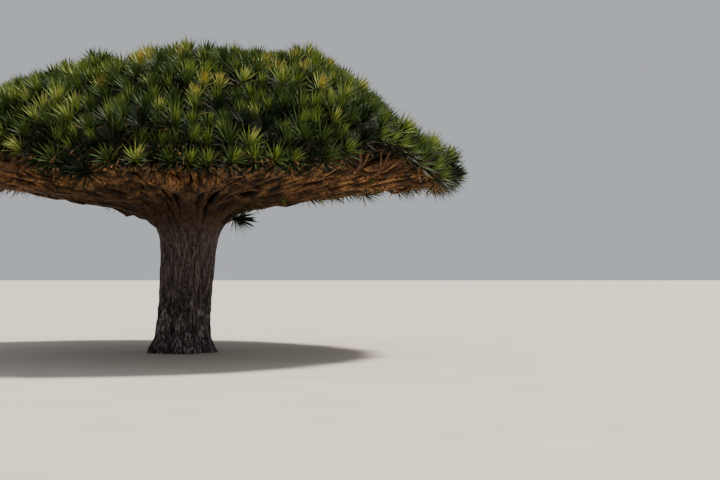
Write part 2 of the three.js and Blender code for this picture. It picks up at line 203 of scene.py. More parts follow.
UNDER_LEAVES = {
    "name": "leaf_branches",
    "count": 48,
    "seed": 57,
    "forks": 4,
    "stout": 0,
    "fine": "spray",
    "wander": (0.3, 0.12),
    "hollows": None,
    "vary": 0.6,
    "lumps": SWELLS + NODS,
    "route": (
        (0.3, 4.0),
        (0.75, 4.72),
        (1.6, 4.74),
        (2.5, 4.5),
        (3.4, 4.1),
        (4.1, 3.7),
        (4.6, 3.44),
        (4.97, 3.22),
    ),
    "radii": (0.06, 0.058, 0.055, 0.05, 0.042, 0.036, 0.034, 0.014),
}
LAYER_SEED_STEP = 5
TUFT_SHARE = 0.045
TUFT = {"leaves": 9, "length": 0.22, "width": 0.016, "lowest": -0.9}
SPROUT_TUFT = {"leaves": 60, "length": 0.42, "width": 0.04, "lowest": -0.45, "dip": -0.1, "seed": 8}

# Rosettes: their leaves lie at the golden angle from heart to skirt
GOLDEN_TURN = radians(137.508)
SIDEWAYS = (0.0, 1.0, 0.02)
ROSETTE = {"leaves": 60, "length": 0.365, "width": 0.03, "lowest": -0.45}
LEAF_SECTIONS = ((0.0, 0.7), (0.45, 1.0))
LEAF_KEEL = 0.22
LEANS = (radians(5), radians(98))
LEAN_SPREAD = 0.2
DIP_EASE = 0.3
LEAF_SEEDS = {"rosette": 0.37, "leaf": 1.618}
LEAF_LENGTHS = {"ends": 0.78, "bulge": 0.22, "power": 0.7, "most": 1.08, "spread": 0.24}
VIGOUR = {"least": 0.86, "spread": 0.26}
LEAF_ROOTS = {"top": 0.03, "drop": 0.1, "out": 0.014}
LEAF_SAG = {"heart": 0.02, "skirt": 0.12}
SKIRT_SHARE = 0.92
RIM_SHARE = 0.88
RIM_SIZE = 1.09

# Leaf colours, and the mixes of them that a rosette may have from heart to skirt
TINTS = {
    "deep": (0.01, 0.02, 0.006),
    "mid": (0.063, 0.104, 0.022),
    "fresh": (0.18, 0.235, 0.041),
    "pale": (0.35, 0.38, 0.11),
    "gold": (0.42, 0.33, 0.07),
    "dry": (0.2, 0.11, 0.04),
}
MIXES = (
    # Deep green all through, as painted shade, for rosettes low enough that their tone is pushed to
    # nothing: the sprout beside the head and the tufts under the crown
    (0.0, ("deep", "deep", "deep")),
    (0.36, ("mid", "mid", "deep")),
    (0.74, ("fresh", "mid", "deep")),
    (0.9, ("pale", "fresh", "deep")),
    (0.975, ("fresh", "fresh", "mid")),
    (1.0, ("gold", "pale", "mid")),
)
TINT_BANDS = (0.17, 0.5)
TONE_SEED = {"pitch": 1.7, "shift": 2}
# Painted light and shade by height: a rosette's tone rises above this height and falls below it, so the
# top of the crown is lighter and its lower rosettes darker
PAINTED_LIGHT_BY_HEIGHT = {"height": 4.4, "rise": 0.2}
PIECE_TRIANGLES = 190_000

# Bark mesh
VOXEL = 0.034
SMOOTHINGS = 4
SMOOTH_SHARE = 0.6
TRUNK_TOP = 2.4
SAME_PLACE = 1e-4

# Bark relief, where a shape is a noise's roughness, the step between its octaves and their number
SINEWS = {"round": 2.2, "along": 1.1, "apart": 17, "height": 0.13, "shape": (0.8, 2.1, 3)}
TRUNKNESS = {"top": 2.7, "fade": 0.7}
FOLDS = {"pitch": (2.8, 2.8, 0.45), "height": 0.035}
PLEATS = {"pitch": (8, 8, 0.9), "height": 0.014, "shape": (0.7, 2.1, 3)}
KNOLLS = {"pitch": (6, 6, 6), "height": 0.014, "less": 0.008, "shape": (0.9, 2.0, 4)}
STREAKS = {"pitch": (21, 21, 2.6), "height": 0.01, "shape": (0.8, 2.0, 2)}
FLAKES = {"pitch": (17, 17, 11), "height": 0.005}
SCABS = {"pitch": (9, 9, 5), "height": 0.014, "shape": (0.8, 2.0, 3), "top": 1.3, "fade": 0.5}
CRACKS = {"pitch": (5, 5, 0.7), "height": 0.022, "width": 0.07}
FISSURES_FADE = 0.35

# Materials: a noise is its stretch, scale and detail, and a span is where one colour turns to the next
BARK_NOISES = {
    "streaks": ((1, 1, 0.1), 24, 8),
    "lines": ((1, 1, 0.14), 62, 4),
    "specks": ((1, 1, 0.4), 24, 7),
    "blots": ((1, 1, 0.7), 4, 5),
    "grain": ((1, 1, 0.45), 70, 5),
    "scales": ((1, 1, 1), 19, 6),
    "patches": ((1, 1, 1), 3.4, 5),
}
RIB_NOISE = ((1, 1, 1), 70, 3)
GREY = {
    "dark": (0.03, 0.022, 0.022),
    "light": (0.16, 0.125, 0.118),
    "line": (0.014, 0.01, 0.01),
    "streak_span": (0.38, 0.62),
    "line_span": (0.48, 0.4),
}
FOOT_SPAN = (1.5, 0.8)
FOOT_SPECKS = (
    {"colour": (0.27, 0.25, 0.26), "speck_span": (0.53, 0.62), "blot_span": (0.42, 0.56)},
    {"colour": (0.01, 0.009, 0.01), "speck_span": (0.55, 0.43), "blot_span": (0.6, 0.44)},
)
# Painted shade: a dark copy of the brown bark, used near the trunk's head and on the inner underside
SHADED_BROWN = {
    "dark": (0.03, 0.017, 0.01),
    "light": (0.085, 0.046, 0.022),
    "rib": (0.016, 0.01, 0.007),
    "scale": (0.012, 0.008, 0.006),
    "patch_span": (0.35, 0.65),
    "rib_span": (0.5, 0.36),
    "scale_span": (0.47, 0.36),
}
# The bark's own orange-brown, made lighter out towards the rim as painted light
LIT_ORANGE_BROWN = {
    "dark": (0.04, 0.021, 0.011),
    "light": (0.36, 0.185, 0.072),
    "rib": (0.035, 0.019, 0.01),
    "scale": (0.022, 0.012, 0.007),
    "patch_span": (0.42, 0.6),
    "rib_span": (0.52, 0.36),
    "scale_span": (0.5, 0.38),
}
HEAD_SPAN = (2.05, 2.6)
# Heights over which the painted shade near the head turns to the painted light out towards the rim
SHADE_TO_LIGHT_SPAN = (2.77, 3.14)
# Near-black painted shade on the wood high up inside the crown: the lifted hollows of the underside and
# the branches under the leaves
CROWN_SHADE_SPAN = (3.3, 3.5)
CROWN_SHADE_COLOUR = (0.02, 0.012, 0.008)
GRAIN_SPAN = (0.2, 0.8, 0.25, 0.75)
SCALE_BUMP_SPAN = (2.2, 2.6)
BARK_FINISH = {"strength": 0.6, "distance": 0.015, "roughness": 0.9, "specular": 0.25}
TWIG_NOISES = {"patches": ((1, 1, 1), 3.2, 5), "scars": ((1, 1, 1), 22, 4)}
TWIG_BROWNS = ((0.05, 0.025, 0.011), (0.19, 0.095, 0.036))
TWIG_SCAR = (0.06, 0.03, 0.014)
TWIG_PATCH_SPAN = (0.35, 0.65)
TWIG_SCAR_SPAN = (0.42, 0.58)
TWIG_FINISH = {"strength": 0.5, "distance": 0.012, "roughness": 0.85, "specular": 0.25}
LEAF_NOISES = {"patches": ((1, 1, 1), 9, 3), "fibres": ((1, 1, 0.3), 60, 2)}
LEAF_SHADES = (0.66, 1.35)
LEAF_SPAN = (0.35, 0.65)
LEAF_FINISH = {"strength": 0.2, "distance": 0.003, "roughness": 0.58, "specular": 0.2}
FLOOR_NOISE = ((1, 1, 1), 0.8, 3)
FLOOR_TONES = ((0.6, 0.54, 0.46), (0.65, 0.59, 0.51))
FLOOR_SPAN = (0.3, 0.7)
FLOOR_FINISH = {"strength": 0.05, "distance": 0.01, "roughness": 0.9, "specular": 0.5}

# The colour sockets of a mix node
MIX_INPUTS = (6, 7)
MIX_OUTPUT = 2

# Stage
FLOOR_HALF = 150.0
SKY = {"colour": (0.86, 0.9, 0.95, 1), "strength": 0.55}
SUN = {"energy": 6.5, "angle": 9, "colour": (1.0, 0.95, 0.86), "toward": (0.5, 0.25, 1.0)}
CAMERA = {"lens": 65.3, "sensor": 36, "far": 500, "place": (3.416, -25, 1.6), "pitch": 91.245}


def draw(seed):
    """A repeatable draw from 0 to 1 for each seed, the last digits of a wave."""
    wave = DRAW_WAVE["height"] * np.sin(seed * DRAW_WAVE["pitch"] + DRAW_WAVE["shift"])
    return wave - np.floor(wave)


def polar(angle, radius, z):
    return Vector((LEAN + radius * cos(radians(angle)), radius * sin(radians(angle)), z))


def swell(angle, share):
    """How far the swells lift the dome at a place."""
    return sum(lift_of(lump, angle, share) for lump in SWELLS)


def lift_of(lump, angle, share):
    across = share**2 + lump["share"] ** 2
    away = across - 2 * share * lump["share"] * cos(radians(angle - lump["angle"]))
    return lump["height"] * exp(-away / lump["reach"] ** 2)


def dome_slope(share):
    if share > 1:
        return RIM_SLOPE + (share - 1) * HEART_RADIUS / RIM_BEND
    return atan(tan(RIM_SLOPE) * share**2)


def dome_radius(share):
    if share <= 1:
        return HEART_RADIUS * share
    return HEART_RADIUS + RIM_BEND * (sin(dome_slope(share)) - sin(RIM_SLOPE))


def dome_height(share):
    if share <= 1:
        return HEART_RIM + CROWN_FALL * (1 - share**3)
    return HEART_RIM - RIM_BEND * (cos(RIM_SLOPE) - cos(dome_slope(share)))


def dome_point(angle, share):
    return polar(angle, dome_radius(share), dome_height(share) + swell(angle, share))


def dome_normal(angle, share):
    slope = dome_slope(share)
    return Vector((cos(radians(angle)) * sin(slope), sin(radians(angle)) * sin(slope), cos(slope)))


def cell_of(cells, i):
    width = 180 / cells["boughs"]["count"]
    start = cells["boughs"]["first"] + width * (i - 1)
    seed = MASS_SEEDS["first"] + MASS_SEEDS["step"] * i
    return {
        "start": start,
        "end": start + width,
        "inner": cells["inner"],
        "outer": cells["outer"],
        "sag": cells["sag"],
        "seed": seed,
    }


def sides_of(cell):
    """Width of a cell round the dome and its length down the dome."""
    middle = (cell["inner"] + cell["outer"]) / 2
    across = radians(cell["end"] - cell["start"]) * dome_radius(middle)
    down = dome_point(cell["start"], cell["inner"]) - dome_point(cell["start"], cell["outer"])
    return across, down.length


def halves(cell):
    """Halves a cell across its longer side, at a seeded place near the middle."""
    across, down = sides_of(cell)
    cut = 0.5 + FORK_JITTER * (draw(cell["seed"]) - 0.5)
    low = {**cell, "seed": 2 * cell["seed"]}
    high = {**cell, "seed": 2 * cell["seed"] + 1}
    near, far = ("start", "end") if across > down else ("inner", "outer")
    low[far] = cell[near] + (cell[far] - cell[near]) * cut
    high[near] = low[far]
    return low, high


def middle_place(cell):
    return (cell["start"] + cell["end"]) / 2, (cell["inner"] + cell["outer"]) / 2


def middle_of(cell):
    return dome_point(*middle_place(cell))


def rosette_axis(cell):
    """Axis of a rosette, between the square to the dome and the upright."""
    angle, share = middle_place(cell)
    upward = UPRIGHT["inside"] if share < 1 else UPRIGHT["rim"]
    return (dome_normal(angle, share) + Vector((0, 0, upward))).normalized()


def fork_of(foot, cell, reach):
    """Place of a fork some share of the way to the cell, which hangs most near the end."""
    fork = foot.lerp(middle_of(cell), reach)
    fork.z -= 4 * cell["sag"] * reach**2 * (1 - reach**2)
    return fork


def limb_radius(shoots):
    return SHOOT_RADIUS * shoots**LIMB_POWER


def bough_angle(boughs, i):
    return boughs["first"] + 360 * i / boughs["count"]


def route_of(route, angle, end_angle):
    """Foot, bend and end of a limb as points."""
    foot, bend, end = route
    return polar(angle, *foot), polar((angle + end_angle) / 2, *bend), polar(end_angle, *end)


def on_route(route, share):
    foot, bend, end = route
    return foot * (1 - share) ** 2 + bend * 2 * share * (1 - share) + end * share**2


def bough_routes(boughs):
    angles = [bough_angle(boughs, i) for i in range(boughs["count"])]
    return [route_of(boughs["route"], angle, angle) for angle in angles]


def limb_routes():
    routes = []
    for i in range(2 * LOWER_BOUGHS["count"]):
        angle = bough_angle(LOWER_BOUGHS, i // 2)
        side = 1 if i % 2 else -1
        routes.append(route_of(LIMBS["route"], angle, angle + side * LIMBS["spread"]))
    return routes


class Growth:
    """The twigs of the crown and the places of its rosettes."""

    def __init__(self):
        self.twigs = []
        self.rosettes = []
        self.layers = {}
        self.tufts = []

    def grow(self, start, heading, width, foot, cell, level):
        """A twig to the cell's fork and a branch for each half, and in the smallest cells a rosette."""
        if level == len(FORK_REACH) or max(sides_of(cell)) < ROSETTE_ROOM:
            self.end_twig(start, heading, width, cell)
            return
        fork = fork_of(foot, cell, FORK_REACH[level])
        ahead = (middle_of(cell) - start).normalized()
        next_width = max(limb_radius(SHOOTS_PER_MASS / 2 ** (level + 1)), STALK_RADIUS)
        grid = "branch" if level < SOURCE_FORKS else "twig"
        self.twigs.append((start, heading, fork, ahead, width, next_width, grid))
        for half in halves(cell):
            self.grow(fork, ahead, next_width, foot, half, level + 1)

    def end_twig(self, start, heading, width, cell):
        """A last twig to its rosette, a little up or down and tilted as its neighbours aren't."""
        seed = cell["seed"]
        heart = middle_of(cell)
        angle, share = middle_place(cell)
        lump = LUMPS["lift"] + LUMPS["height"] * noise.noise(heart * LUMPS["pitch"])
        lump += LUMPS["jitter"] * (draw(seed + SALTS["lift"]) - 0.5)
        if share > 1:
            lump *= LUMPS["rim"]
            heart.z += RIM_WAVE["height"] * noise.noise(heart * RIM_WAVE["pitch"])
        heart += dome_normal(angle, share) * lump
        heart.z += sum(lift_of(nod, angle, share) for nod in NODS)
        heart.z -= FURROW["depth"] * exp(-(((heart.x - FURROW["x"]) / FURROW["width"]) ** 2))
        across = draw(seed + SALTS["tilt_x"]) - 0.5
        along = draw(seed + SALTS["tilt_y"]) - 0.5
        tilt = Vector((across, along, 0)) * 2 * TILT
        axis = (rosette_axis(cell) + tilt).normalized()
        self.twigs.append((start, heading, heart, axis, width, STALK_RADIUS, "twig"))
        self.rosettes.append((heart, axis, seed, RIM_SIZE if share > RIM_SHARE else 1))

    def spread(self, layer, start, heading, sector, station):
        """A branch of a layer to its next station, and one more for each half of its sector."""
        last = len(layer["route"]) - 1
        end = layer_place(layer, sector, station)
        ahead = (layer_place(layer, sector, min(station + 1, last)) - start).normalized()
        vary = 1 + layer["vary"] * (draw(sector["seed"] + SALTS["thickness"]) - 0.5)
        widths = [vary * width for width in layer["radii"][station - 1 : station + 1]]
        grid = "bough" if station <= layer["stout"] else layer["fine"]
        self.layers[layer["name"]].append((start, heading, end, ahead, *widths, grid))
        if layer["stout"] and station > 1 and draw(sector["seed"] + SALTS["tuft"]) < TUFT_SHARE:
            self.tufts.append((end, (ahead - Vector((0, 0, 1))).normalized(), sector["seed"], 1))
        if station == last:
            return
        parts = halves(sector) if station <= layer["forks"] else (sector,)
        for part in parts:
            self.spread(layer, end, ahead, part, station + 1)


def layer_place(layer, sector, station):
    """Where a layer's branch for a sector passes a station of the route."""
    radius, z = layer["route"][station]
    if station > 1:
        radius += layer["wander"][0] * (draw(sector["seed"] + SALTS["out"]) - 0.5)
        z += layer["wander"][1] * (draw(sector["seed"] + SALTS["up"]) - 0.5)
    angle = middle_place(sector)[0]
    z += sum(lift_of(lump, angle, radius / HEART_RADIUS) for lump in layer["lumps"])
    place = polar(angle, radius, z)
    hollows = layer["hollows"]
    if hollows and hollows["inner"] < radius < hollows["outer"]:
        place.z += hollows["height"] * max(noise.noise(place * hollows["pitch"]), 0)
    return place


def twig_points(start, heading, end, end_heading, rings):
    """Points along a smooth curve between two places with their headings."""
    span = (end - start).length
    points = []
    for step in range(rings):
        s = step / (rings - 1)
        points.append(
            start * (2 * s**3 - 3 * s**2 + 1)
            + heading * span * (s**3 - 2 * s**2 + s)
            + end * (3 * s**2 - 2 * s**3)
            + end_heading * span * (s**3 - s**2)
        )
    return points


def tube(points, radii, sides):
    """Rings square to a line of points, closed at both ends by a low cone."""
    verts = []
    side = None
    for i, point in enumerate(points):
        ahead = points[min(i + 1, len(points) - 1)] - points[max(i - 1, 0)]
        ahead.normalize()
        if side is None:
            side = ahead.orthogonal()
        side = (side - ahead * side.dot(ahead)).normalized()
        over = ahead.cross(side)
        for k in range(sides):
            turn = 2 * pi * k / sides
            radius = radii[i](turn) if callable(radii[i]) else radii[i]
            verts.append(point + side * (radius * cos(turn)) + over * (radius * sin(turn)))
    faces = []
    for i in range(len(points) - 1):
        for k in range(sides):
            j = (k + 1) % sides
            low, high = i * sides, (i + 1) * sides
            faces.append((low + k, low + j, high + j, high + k))
    foot_middle, end_middle = len(verts), len(verts) + 1
    verts += [points[0], points[-1]]
    last = (len(points) - 1) * sides
    for k in range(sides):
        j = (k + 1) % sides
        faces.append((foot_middle, j, k))
        faces.append((end_middle, last + k, last + j))
    return verts, faces


def mesh_of(name, chunks):
    """One mesh from many lists of points and faces."""
    verts = []
    faces = []
    for points, sides in chunks:
        base = len(verts)
        verts += [tuple(point) for point in points]
        faces += [tuple(base + k for k in face) for face in sides]
    mesh = bpy.data.meshes.new(name)
    mesh.from_pydata(verts, [], faces)
    return mesh


def add_object(name, mesh):
    obj = bpy.data.objects.new(name, mesh)
    bpy.context.scene.collection.objects.link(obj)
    return obj


def trunk_radius(z, angle):
    root = exp(-z / ROOT_FALL)
    head = max(z / HEAD_HEIGHT, 0) ** HEAD_POWER
    bough_turn = LOWER_BOUGHS["count"] * (angle - radians(LOWER_BOUGHS["first"]))
    root_lobe = root * ROOT_LOBES["depth"] * cos(ROOT_LOBES["count"] * angle + ROOT_LOBES["turn"])
    head_lobe = head * HEAD_LOBE_DEPTH * cos(bough_turn)
    waist_turn = WAIST_LOBES["count"] * angle + z / WAIST_LOBES["pitch"]
    waist_lobe = WAIST_LOBES["depth"] * cos(waist_turn)
    round_part = WAIST_RADIUS + ROOT_FLARE * root + HEAD_FLARE * head
    return round_part * (1 + root_lobe + head_lobe + waist_lobe)


def trunk_tube(sides=72, rings=60, cap_rings=8, below=0.1):
    """The trunk from just below the ground, cut level later, to its domed head."""
    verts = []
    for ring in range(rings + cap_rings + 1):
        z = HEAD_HEIGHT * min(ring / rings, 1)
        on_top = max(ring - rings, 0) / cap_rings
        rise = (HEAD_TOP - HEAD_HEIGHT) * sin(on_top * pi / 2)
        inward = 1 + (HEAD_TOP_SHARE - 1) * on_top
        lean = LEAN * sin(z / HEAD_HEIGHT * pi / 2)
        drop = below if ring == 0 else 0
        for k in range(sides):
            angle = 2 * pi * k / sides
            radius = trunk_radius(z, angle) * inward
            verts.append((lean + radius * cos(angle), radius * sin(angle), z + rise - drop))
    faces = []
    for ring in range(rings + cap_rings):
        for k in range(sides):
            j = (k + 1) % sides
            low, high = ring * sides, (ring + 1) * sides
            faces.append((low + k, low + j, high + j, high + k))
    last = (rings + cap_rings) * sides
    faces.append(tuple(reversed(range(sides))))
    faces.append(tuple(range(last, last + sides)))
    return verts, faces


def sinew(turn, along, seed):
    """Ridges that run along a bough, from -1 to 1."""
    onward = SINEWS["along"] * along + SINEWS["apart"] * seed
    place = Vector((SINEWS["round"] * cos(turn), SINEWS["round"] * sin(turn), onward))
    return noise.fractal(place, *SINEWS["shape"])


def bough_tube(route, foot_radius, end_radius, seed, sides=26, rings=40):
    points = [on_route(route, k / rings) for k in range(rings + 1)]
    length = (route[2] - route[0]).length
    radii = []
    for k in range(rings + 1):
        share = k / rings
        radius = foot_radius + (end_radius - foot_radius) * share

        def ridged(turn, radius=radius, along=share * length):
            return radius * (1 + SINEWS["height"] * sinew(turn, along, seed))

        radii.append(ridged)
    return tube(points, radii, sides)


def bark_tubes():
    """Trunk, boughs and limbs as closed tubes that run into one another."""
    chunks = [trunk_tube()]
    seed = 1
    bough_end = limb_radius(2 * SHOOTS_PER_MASS)
    for boughs in (LOWER_BOUGHS, MIDDLE_BOUGHS, UPPER_BOUGHS):
        for route in bough_routes(boughs):
            chunks.append(bough_tube(route, boughs["radius"], bough_end, seed))
            seed += 1
    for route in limb_routes():
        foot = limb_radius(LIMBS["foot_shoots"])
        chunks.append(bough_tube(route, foot, limb_radius(SHOOTS_PER_MASS), seed))
        seed += 1
    return chunks


def modified(mesh, kind, **settings):
    """What a modifier makes of a mesh."""
    obj = add_object("work", mesh)
    modifier = obj.modifiers.new("work", kind)
    for key, value in settings.items():
        setattr(modifier, key, value)
    depsgraph = bpy.context.evaluated_depsgraph_get()
    result = bpy.data.meshes.new_from_object(obj.evaluated_get(depsgraph))
    bpy.data.objects.remove(obj)
    return result


def cut_level(mesh):
    """Cuts a mesh at ground level and closes the cut."""
    work = bmesh.new()
    work.from_mesh(mesh)
    geometry = work.verts[:] + work.edges[:] + work.faces[:]
    cut = bmesh.ops.bisect_plane(
        work, geom=geometry, plane_co=(0, 0, 0), plane_no=(0, 0, 1), clear_inner=True
    )
    edges = [item for item in cut["geom_cut"] if isinstance(item, bmesh.types.BMEdge)]
    bmesh.ops.holes_fill(work, edges=edges)
    work.to_mesh(mesh)
    work.free()


def points_of(mesh):
    points = np.empty(3 * len(mesh.vertices), np.float32)
    mesh.vertices.foreach_get("co", points)
    return points.reshape(-1, 3).astype(float)


def set_points(mesh, points):
    mesh.vertices.foreach_set("co", points.astype(np.float32).ravel())
    mesh.update()


def normals_of(mesh):
    normals = np.empty(3 * len(mesh.vertices), np.float32)
    mesh.vertex_normals.foreach_get("vector", normals)
    return normals.reshape(-1, 3).astype(float)


def smooth(mesh, times):
    """Moves each point towards the middle of its neighbours."""
    edges = np.empty(2 * len(mesh.edges), np.int32)
    mesh.edges.foreach_get("vertices", edges)
    a, b = edges.reshape(-1, 2).T
    points = points_of(mesh)
    count = np.bincount(a, minlength=len(points)) + np.bincount(b, minlength=len(points))
    for _ in range(times):
        middle = np.empty_like(points)
        for axis in range(3):
            total = np.bincount(a, points[b, axis], len(points))
            total += np.bincount(b, points[a, axis], len(points))
            middle[:, axis] = total / count
        points += SMOOTH_SHARE * (middle - points)
    set_points(mesh, points)


def clamped(value):
    return min(max(value, 0), 1)


def pattern(kind, point):
    """Noise of a kind of relief at a place."""
    place = Vector([pitch * part for pitch, part in zip(kind["pitch"], point)])
    if "shape" in kind:
        return noise.fractal(place, *kind["shape"])
    return noise.noise(place)


def relief(point):
    """Height of the bark at a place: upright folds on the trunk, knolls on the boughs."""
    trunkness = clamped((TRUNKNESS["top"] - point[2]) / TRUNKNESS["fade"])
    upright = FOLDS["height"] * pattern(FOLDS, point) + PLEATS["height"] * pattern(PLEATS, point)
    knoll_height = KNOLLS["height"] - KNOLLS["less"] * trunkness
    return trunkness * upright + knoll_height * pattern(KNOLLS, point)


def fissures(point):
    """Height of the trunk's narrow fissures and flakes, and of the coarser scabs on its foot."""
    fade = clamped((TRUNK_TOP - point[2]) / FISSURES_FADE)
    foot = clamped((SCABS["top"] - point[2]) / SCABS["fade"])
    height = STREAKS["height"] * pattern(STREAKS, point)
    height += FLAKES["height"] * pattern(FLAKES, point)
    height += SCABS["height"] * foot * pattern(SCABS, point)
    height -= CRACKS["height"] * max(1 - abs(pattern(CRACKS, point)) / CRACKS["width"], 0)
    return fade * height


def displaced(mesh, height_at):
    points = points_of(mesh)
    heights = np.array([height_at(point) for point in points])
    set_points(mesh, points + normals_of(mesh) * heights[:, None])


def bark_mesh():
    """One skin of even faces over trunk, boughs and limbs, with its broad relief."""
    mesh = modified(mesh_of("bark", bark_tubes()), "REMESH", mode="VOXEL", voxel_size=VOXEL)
    smooth(mesh, SMOOTHINGS)
    displaced(mesh, relief)
    return mesh


def part_of(mesh, name, keep):
    """The faces of a mesh that are kept, with the whole mesh's normals."""
    normals = normals_of(mesh)
    points = points_of(mesh)
    faces = [tuple(p.vertices) for p in mesh.polygons if keep(p.center)]
    used = sorted({k for face in faces for k in face})
    place = {k: i for i, k in enumerate(used)}
    part = bpy.data.meshes.new(name)
    part.from_pydata(points[used].tolist(), [], [[place[k] for k in face] for face in faces])
    part.shade_smooth()
    part.normals_split_custom_set_from_vertices(normals[used].tolist())
    return part


def trunk_mesh(bark):
    """The bark below the boughs, each face divided in four to hold the narrow fissures."""
    coarse = part_of(bark, "trunk_coarse", lambda c: c.z < TRUNK_TOP)
    mesh = modified(coarse, "SUBSURF", subdivision_type="SIMPLE", levels=1)
    displaced(mesh, fissures)
    cut_level(mesh)
    mesh.shade_smooth()
    mesh.normals_split_custom_set_from_vertices(trunk_normals(mesh, bark).tolist())
    return mesh


def trunk_normals(mesh, bark):
    """The trunk's normals, level round its foot and the bark's own along its upper edge."""
    points = points_of(mesh)
    normals = normals_of(mesh)
    normals[points[:, 2] < SAME_PLACE, 2] = 0
    normals = unit(normals)
    bark_points = points_of(bark)
    bark_normals = normals_of(bark)
    near = np.flatnonzero(np.abs(bark_points[:, 2] - TRUNK_TOP) < 2 * VOXEL)
    tree = kdtree.KDTree(len(near))
    for k in near:
        tree.insert(bark_points[k], k)
    tree.balance()
    for k in np.flatnonzero(points[:, 2] > TRUNK_TOP - VOXEL):
        normals[k] = bark_normals[tree.find(points[k])[1]]
    return normals


def crown():
    """Twigs and rosettes of every mass."""
    growth = Growth()
    for i, route in enumerate(limb_routes()):
        cell = cell_of(RIM_CELLS, i)
        start_mass(growth, route, cell, limb_radius(SHOOTS_PER_MASS / 2))
    for cells in (SHOULDER_CELLS, TOP_CELLS):
        for i, route in enumerate(bough_routes(cells["boughs"])):
            for side in range(2):
                cell = cell_of(cells, 2 * i + side)
                start_mass(growth, route, cell, limb_radius(SHOOTS_PER_MASS / 2))
    start_crest(growth)
    foot = polar(SPROUT["angle"], *SPROUT["foot"])
    heart, axis = sprout()[:2]
    heading = (heart - foot).normalized()
    growth.twigs.append((foot, heading, heart, axis, SPROUT["radius"], STALK_RADIUS, "twig"))
    for layer in (UNDERSIDE, UNDER_LEAVES):
        start_layer(growth, layer)
    return growth


def start_crest(growth):
    """The one rosette in the middle of the dome, between the masses of the top."""
    foot = bough_routes(UPPER_BOUGHS)[0][2]
    heart = dome_point(0, 0)
    upright = Vector((0, 0, 1))
    growth.twigs.append((foot, upright, heart, upright, CREST["radius"], STALK_RADIUS, "branch"))
    growth.rosettes.append((heart, upright, CREST["seed"], 1))


def start_layer(growth, layer):
    growth.layers[layer["name"]] = []
    width = 360 / layer["count"]
    for i in range(layer["count"]):
        seed = layer["seed"] + LAYER_SEED_STEP * i
        sector = {"start": i * width, "end": (i + 1) * width, "inner": 1, "outer": 1, "seed": seed}
        growth.spread(layer, layer_place(layer, sector, 0), Vector((0, 0, 1)), sector, 1)


def sprout():
    """Heart, axis, seed and size of the small rosette beside the trunk's head."""
    axis = polar(SPROUT["angle"], 1, SPROUT_TUFT["dip"]) - polar(0, 0, 0)
    return polar(SPROUT["angle"], *SPROUT["heart"]), axis.normalized(), SPROUT_TUFT["seed"], 1


def start_mass(growth, route, cell, width):
    foot = route[2]
    heading = (route[2] - route[1]).normalized()
    start = foot - heading * MASS_FOOT["sunk"]
    growth.grow(start, heading, width * MASS_FOOT["swell"], foot, cell, 0)


def twig_chunk(start, heading, end, end_heading, width, end_width, grid):
    sides, rings = GRIDS[grid]
    points = twig_points(start, heading, end, end_heading, rings)
    radii = []
    for k, point in enumerate(points):
        s = k / (rings - 1)
        waist = 1 - KNUCKLE * sin(pi * s) + KNOBS["height"] * noise.noise(point * KNOBS["pitch"])
        radii.append((width + (end_width - width) * s) * waist)
    tip = points[-1] + end_heading * TWIG_TIP["reach"] * end_width
    return tube(points + [tip], radii + [TWIG_TIP["width"] * end_width], sides)


def unit(rows):
    return rows / np.linalg.norm(rows, axis=-1, keepdims=True)


def rosette_leaves(rosettes, kind):
    """Places and shapes of the leaves of many rosettes, one row for each leaf."""
    hearts, axes = (np.array([tuple(rosette[k]) for rosette in rosettes]) for k in range(2))
    seeds = np.array([float(rosette[2]) for rosette in rosettes])
    count = kind["leaves"]
    place = np.arange(count)
    share = (place + 0.5) / count
    seed = seeds[:, None] * LEAF_SEEDS["rosette"] + place[None, :] * LEAF_SEEDS["leaf"]
    axis = np.repeat(axes[:, None, :], count, axis=1)
    side = unit(np.cross(axes, SIDEWAYS))
    over = np.cross(axes, side)
    turn = GOLDEN_TURN * place[None, :] + 2 * pi * draw(seeds)[:, None]
    out = np.cos(turn)[..., None] * side[:, None, :] + np.sin(turn)[..., None] * over[:, None, :]
    lean = LEANS[0] + (LEANS[1] - LEANS[0]) * share[None, :]
    lean = lean + LEAN_SPREAD * (draw(seed + SALTS["lean"]) - 0.5)
    heading = np.cos(lean)[..., None] * axis + np.sin(lean)[..., None] * out
    eased = kind["lowest"] + DIP_EASE * (heading[..., 2] - kind["lowest"])
    heading[..., 2] = np.maximum(heading[..., 2], eased)
    heading = unit(heading)
    vigour = VIGOUR["least"] + VIGOUR["spread"] * draw(seeds + SALTS["vigour"])[:, None]
    vigour = vigour * np.array([rosette[3] for rosette in rosettes])[:, None]
    bulge = LEAF_LENGTHS["bulge"] * np.sin(pi * share[None, :] ** LEAF_LENGTHS["power"])
    size = kind["length"] * vigour * (LEAF_LENGTHS["ends"] + bulge)
    size = size * (LEAF_LENGTHS["most"] - LEAF_LENGTHS["spread"] * draw(seed + SALTS["length"]))
    above = LEAF_ROOTS["top"] - LEAF_ROOTS["drop"] * share
    root = hearts[:, None, :] + axis * above[None, :, None] + LEAF_ROOTS["out"] * out
    sag = LEAF_SAG["heart"] + LEAF_SAG["skirt"] * share**2
    return {
        "root": root.reshape(-1, 3),
        "heading": heading.reshape(-1, 3),
        "across": unit(np.cross(axis, heading)).reshape(-1, 3),
        "length": size.reshape(-1),
        "width": np.full(size.size, kind["width"]),
        "sag": np.broadcast_to(sag, size.shape).reshape(-1),
        "share": np.broadcast_to(share, size.shape).reshape(-1),
        "seed": np.repeat(seeds, count),
        "height": np.repeat(hearts[:, 2], count),
    }


